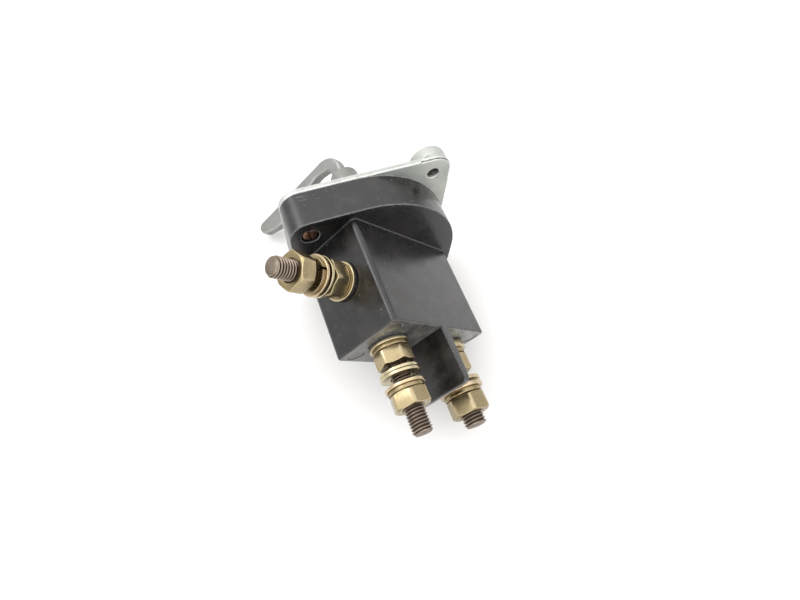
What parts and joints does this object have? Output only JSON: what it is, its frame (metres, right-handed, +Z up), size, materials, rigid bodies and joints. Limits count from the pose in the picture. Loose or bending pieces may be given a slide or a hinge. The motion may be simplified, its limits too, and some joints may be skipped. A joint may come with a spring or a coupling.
{
  "type": "battery switch",
  "caption": "Battery master switch: lever on a cast square plate, black moulded housing with barrier, threaded stud terminals.",
  "frame": {"origin": "on the lever's axis at the rear face of the mounting plate", "axes": "-Y out of the front towards the lever, +Z up on an upright panel with the plate's edges level, +X to the right as seen from the front"},
  "size_m": [0.1089, 0.1882, 0.1204],
  "materials": {
    "cast_alloy": "matte, as cast",
    "bakelite": "semi-gloss, scratched",
    "nut_metal": "satin, worn",
    "washer_metal": "satin, worn",
    "stud_steel": "dull, oxidised",
    "screw_metal": "dull",
    "turned_steel": "turned",
    "bush_bronze": "machined",
    "copper": "stamped",
    "spring_steel": "drawn wire",
    "rotor_phenolic": "moulded",
    "seal_rubber": "matte"
  },
  "bodies": {
    "switch_body": {"mounting_plate": "cast_alloy", "housing": "bakelite", "inner_nuts": "nut_metal", "outer_nuts": "nut_metal", "flat_washers": "washer_metal", "spring_washers": "washer_metal", "left_stud": "stud_steel", "right_stud": "stud_steel", "side_stud": "stud_steel", "body_screws": "screw_metal", "spindle_bush": "bush_bronze", "detent_block": "cast_alloy", "left_contact": "copper", "right_contact": "copper", "common_strap": "copper"},
    "lever": {"lever_handle": "cast_alloy", "lever_pin": "spring_steel", "spindle": "turned_steel", "spindle_seal": "seal_rubber", "thrust_washer": "turned_steel", "circlip": "spring_steel", "detent_carrier": "turned_steel", "detent_spring": "spring_steel", "spacer_tube": "bush_bronze", "rotor": "rotor_phenolic", "rotor_pin": "turned_steel", "contact_spring": "spring_steel"},
    "ball_carriage": {"detent_ball": "turned_steel"},
    "moving_contact": {"contact_blade": "copper"}
  },
  "joints": [
    {"name": "lever_turn", "type": "hinge", "parent": "switch_body", "child": "lever", "pos_m": [0, 0, 0], "axis": [0, -1, 0], "range_deg": [-90, 90]},
    {"name": "ball_travel", "type": "slide", "parent": "lever", "child": "ball_carriage", "axis": [0.7071, 0, -0.7071], "range_m": [0, 0.0016]},
    {"name": "contact_lift", "type": "slide", "parent": "lever", "child": "moving_contact", "axis": [0, -1, 0], "range_m": [0, 0.0008], "stiffness_N_per_m": 800, "deforming": ["contact_spring"]}
  ]
}
